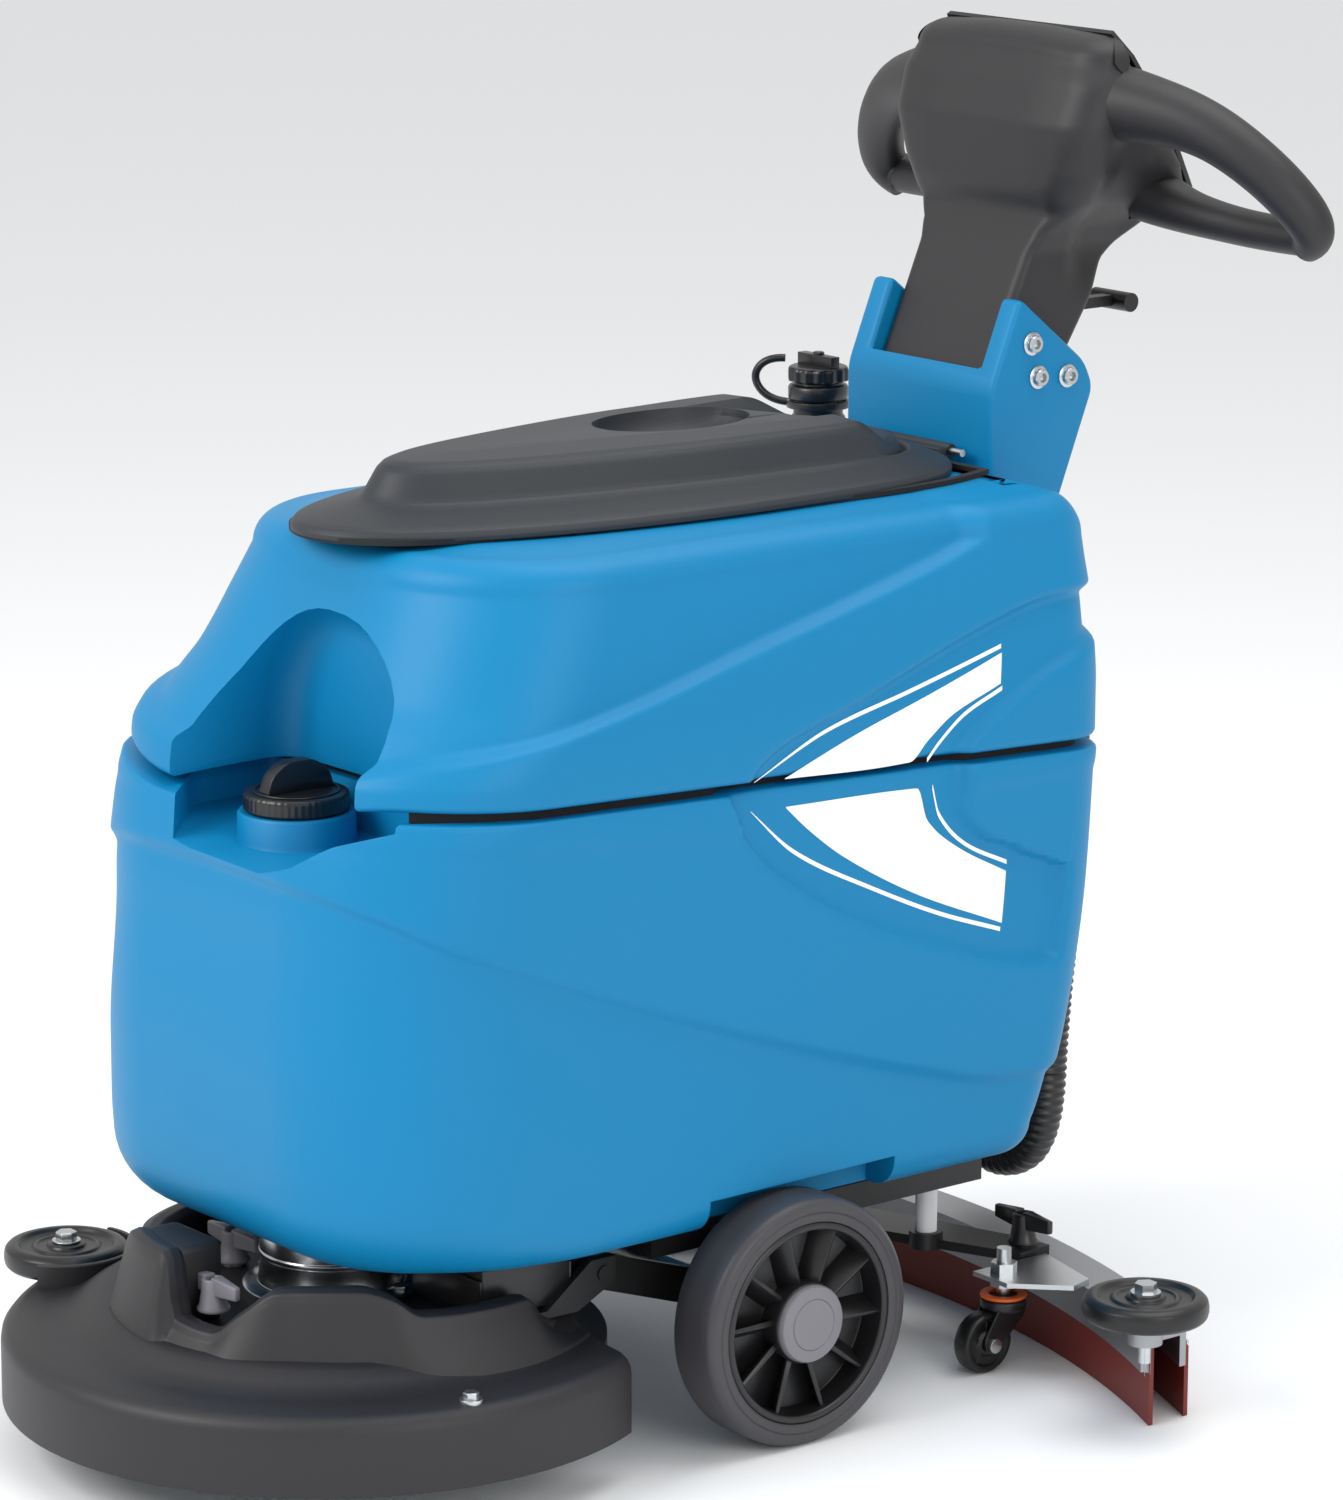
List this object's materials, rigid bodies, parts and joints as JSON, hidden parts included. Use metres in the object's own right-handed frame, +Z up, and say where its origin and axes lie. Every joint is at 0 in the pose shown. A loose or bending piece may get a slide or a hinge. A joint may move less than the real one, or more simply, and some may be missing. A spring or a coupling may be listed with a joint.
{
  "type": "floor scrubber",
  "caption": "Walk-behind battery floor scrubber with a disc brush deck, stacked water tanks, a curved squeegee and a handle with looped grips.",
  "frame": {"origin": "on the floor, at the centre of the machine's plan without its drain hose", "axes": "+X to the machine's left, -Y to its front where the brush deck is, +Z up"},
  "size_m": [0.868, 1.078, 1.06],
  "materials": {
    "blue_tank": "moulded polyethylene, satin",
    "black_plastic": "textured injection moulding",
    "charcoal_plastic": "fine leather-grain moulding",
    "grey_plastic": "smooth moulding",
    "white_nylon": "turned nylon",
    "tyre_rubber": "solid grey tyre, satin",
    "roller_rubber": "smooth rubber",
    "seal_rubber": "soft seal",
    "blade_rubber": "red natural rubber blade",
    "frame_steel": "black powder coat",
    "zinc_steel": "zinc plated",
    "cast_aluminium": "ground top, dark blasted sides",
    "motor_steel": "machined can",
    "battery_case": "smooth polypropylene",
    "bristle": "polypropylene bristles",
    "hose_plastic": "ribbed flexible hose",
    "display_glass": "clear window over a dark display",
    "switch_plastic": "gloss moulded rocker"
  },
  "bodies": {
    "chassis": {"solution_tank": "blue_tank", "chassis_frame": "frame_steel", "main_axle": "zinc_steel", "batteries": "battery_case", "motor_conduit": "black_plastic", "handle_column": "blue_tank", "column_screws": "zinc_steel", "vacuum_motor": "black_plastic", "head_shell": "black_plastic", "panel_cover": "black_plastic", "status_display": "display_glass", "handle_grips": "black_plastic"},
    "recovery": {"recovery_tank": "blue_tank", "lid_hinge_pin": "zinc_steel", "suction_pipe": "black_plastic", "hose_outlet": "black_plastic", "drain_hose": "hose_plastic", "drain_hose_cuff": "black_plastic", "drain_cap_strap": "black_plastic", "hose_clip": "black_plastic"},
    "lid": {"tank_lid": "charcoal_plastic", "lid_seal": "seal_rubber"},
    "filler_cap": {"filler_cap": "black_plastic"},
    "drain_cap": {"drain_cap": "black_plastic"},
    "key_switch": {"key_switch": "grey_plastic"},
    "brush_switch": {"brush_switch": "switch_plastic"},
    "vacuum_switch": {"vacuum_switch": "switch_plastic"},
    "flow_knob": {"flow_knob": "grey_plastic"},
    "lift_lever": {"lift_lever": "frame_steel"},
    "left_wheel": {"left_tyre": "tyre_rubber", "left_wheel": "black_plastic", "left_hub_cap": "grey_plastic"},
    "right_wheel": {"right_tyre": "tyre_rubber", "right_wheel": "black_plastic", "right_hub_cap": "grey_plastic"},
    "deck_arms": {"deck_arms": "frame_steel"},
    "deck": {"deck_cover": "black_plastic", "deck_bracket": "frame_steel", "gear_motor": "motor_steel", "deck_bolts": "zinc_steel"},
    "brush": {"brush_block": "black_plastic", "brush_bristles": "bristle"},
    "front_roller": {"front_roller": "roller_rubber"},
    "deck_knob": {"deck_knob": "grey_plastic"},
    "lift_arm": {"squeegee_lift_arm": "frame_steel"},
    "squeegee": {"squeegee_yoke": "frame_steel", "guide_posts": "white_nylon", "squeegee_body": "cast_aluminium", "front_blade": "blade_rubber", "rear_blade": "blade_rubber", "squeegee_fasteners": "zinc_steel", "caster_brackets": "zinc_steel"},
    "left_roller": {"left_roller": "roller_rubber"},
    "right_roller": {"right_roller": "roller_rubber"},
    "left_wing_knob": {"left_wing_knob": "black_plastic"},
    "right_wing_knob": {"right_wing_knob": "black_plastic"},
    "left_caster_fork": {"left_caster_fork": "black_plastic"},
    "right_caster_fork": {"right_caster_fork": "black_plastic"},
    "left_caster_wheel": {"left_caster_wheel": "roller_rubber"},
    "right_caster_wheel": {"right_caster_wheel": "roller_rubber"}
  },
  "joints": [
    {"name": "recovery_lift", "type": "slide", "parent": "chassis", "child": "recovery", "axis": [0, 0, 1], "range_m": [0, 0.18]},
    {"name": "lid_hinge", "type": "hinge", "parent": "recovery", "child": "lid", "pos_m": [0, 0.301, 0.726], "axis": [-1, 0, 0], "range_deg": [0, 50]},
    {"name": "filler_turn", "type": "hinge", "parent": "chassis", "child": "filler_cap", "pos_m": [0, -0.309, 0.48], "axis": [0, 0, 1], "range_deg": [0, 180]},
    {"name": "drain_cap_turn", "type": "hinge", "parent": "recovery", "child": "drain_cap", "pos_m": [-0.181, 0.362, 0.746], "axis": [0, 0, 1], "range_deg": [0, 90]},
    {"name": "key_turn", "type": "hinge", "parent": "chassis", "child": "key_switch", "pos_m": [-0.06, 0.50324, 0.96518], "axis": [0, 0.8036, 0.5952], "range_deg": [0, 90]},
    {"name": "brush_rocker", "type": "hinge", "parent": "chassis", "child": "brush_switch", "pos_m": [-0.02, 0.50348, 0.96536], "axis": [1, 0, 0], "range_deg": [-8, 8]},
    {"name": "vacuum_rocker", "type": "hinge", "parent": "chassis", "child": "vacuum_switch", "pos_m": [0.02, 0.50348, 0.96536], "axis": [1, 0, 0], "range_deg": [-8, 8]},
    {"name": "flow_turn", "type": "hinge", "parent": "chassis", "child": "flow_knob", "pos_m": [0.06, 0.50324, 0.96518], "axis": [0, 0.8036, 0.5952], "range_deg": [0, 270]},
    {"name": "left_wheel_spin", "type": "hinge", "parent": "chassis", "child": "left_wheel", "pos_m": [0, -0.007, 0.1], "axis": [1, 0, 0], "continuous": true},
    {"name": "right_wheel_spin", "type": "hinge", "parent": "chassis", "child": "right_wheel", "pos_m": [0, -0.007, 0.1], "axis": [1, 0, 0], "continuous": true},
    {"name": "deck_lower", "type": "hinge", "parent": "chassis", "child": "deck_arms", "pos_m": [0, -0.007, 0.1], "axis": [1, 0, 0], "range_deg": [0, 15.5]},
    {"name": "deck_level", "type": "hinge", "parent": "deck_arms", "child": "deck", "pos_m": [0, -0.142, 0.146], "axis": [1, 0, 0], "range_deg": [-15.5, 0]},
    {"name": "brush_spin", "type": "hinge", "parent": "deck", "child": "brush", "pos_m": [0, -0.281, 0.07], "axis": [0, 0, 1], "continuous": true},
    {"name": "front_roller_spin", "type": "hinge", "parent": "deck", "child": "front_roller", "pos_m": [-0.218, -0.385, 0.103], "axis": [0, 0, 1], "continuous": true},
    {"name": "deck_knob_turn", "type": "hinge", "parent": "deck", "child": "deck_knob", "pos_m": [-0.095, -0.308, 0.12], "axis": [0, 0, 1], "continuous": true},
    {"name": "squeegee_lift", "type": "hinge", "parent": "chassis", "child": "lift_arm", "pos_m": [0, 0.143, 0.104], "axis": [1, 0, 0], "range_deg": [0, 7]},
    {"name": "squeegee_swivel", "type": "hinge", "parent": "lift_arm", "child": "squeegee", "pos_m": [0, 0.225, 0.104], "axis": [0, 0, 1], "range_deg": [-8, 8]},
    {"name": "lift_lever_turn", "type": "hinge", "parent": "chassis", "child": "lift_lever", "pos_m": [0, 0.455, 0.822], "axis": [1, 0, 0], "range_deg": [0, 35]},
    {"name": "left_roller_spin", "type": "hinge", "parent": "squeegee", "child": "left_roller", "pos_m": [0.384, 0.227, 0.09], "axis": [0, 0, 1], "continuous": true},
    {"name": "left_wing_turn", "type": "hinge", "parent": "squeegee", "child": "left_wing_knob", "pos_m": [0.172, 0.29, 0.086], "axis": [0, 0, 1], "continuous": true},
    {"name": "left_caster_swivel", "type": "hinge", "parent": "squeegee", "child": "left_caster_fork", "pos_m": [0.203, 0.241, 0.06], "axis": [0, 0, 1], "continuous": true},
    {"name": "left_caster_spin", "type": "hinge", "parent": "left_caster_fork", "child": "left_caster_wheel", "pos_m": [0.203, 0.219, 0.025], "axis": [1, 0, 0], "continuous": true},
    {"name": "right_roller_spin", "type": "hinge", "parent": "squeegee", "child": "right_roller", "pos_m": [-0.384, 0.227, 0.09], "axis": [0, 0, 1], "continuous": true},
    {"name": "right_wing_turn", "type": "hinge", "parent": "squeegee", "child": "right_wing_knob", "pos_m": [-0.172, 0.29, 0.086], "axis": [0, 0, 1], "continuous": true},
    {"name": "right_caster_swivel", "type": "hinge", "parent": "squeegee", "child": "right_caster_fork", "pos_m": [-0.203, 0.241, 0.06], "axis": [0, 0, 1], "continuous": true},
    {"name": "right_caster_spin", "type": "hinge", "parent": "right_caster_fork", "child": "right_caster_wheel", "pos_m": [-0.203, 0.219, 0.025], "axis": [1, 0, 0], "continuous": true}
  ],
  "couplings": [
    {"joint": "deck_level", "follows": "deck_lower", "ratio": -1},
    {"joint": "lift_lever_turn", "follows": "squeegee_lift", "ratio": 5}
  ]
}
